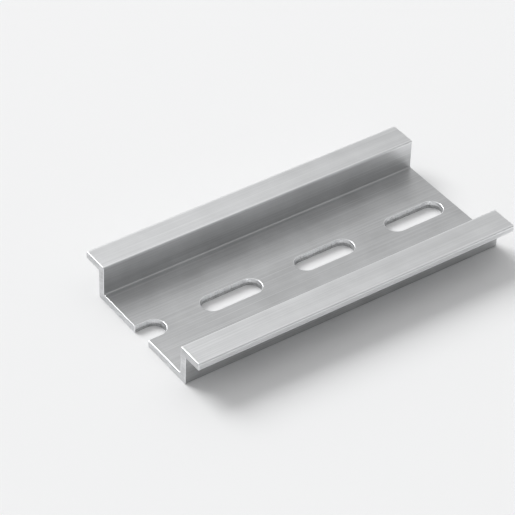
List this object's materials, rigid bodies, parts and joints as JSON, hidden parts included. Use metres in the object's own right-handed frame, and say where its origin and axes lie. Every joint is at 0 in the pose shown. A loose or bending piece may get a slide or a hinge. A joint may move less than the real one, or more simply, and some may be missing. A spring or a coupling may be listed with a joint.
{
  "type": "din rail",
  "caption": "Short length of top-hat DIN rail: open channel with two outward flanges and a row of round-ended fixing slots, the first cut open by the sawn end.",
  "frame": {"origin": "middle of the rail's back, on the plane that is mounted against a panel, halfway between the two sawn ends", "axes": "+X along the rail, from the end that cuts through a slot to the plain end; +Y across it, to one flange; +Z out of the back, through the open mouth of the channel"},
  "size_m": [0.067, 0.035, 0.0075],
  "materials": {
    "rail": "satin extruded, with sawn ends"
  },
  "bodies": {
    "root": {"rail": "rail"}
  },
  "joints": []
}
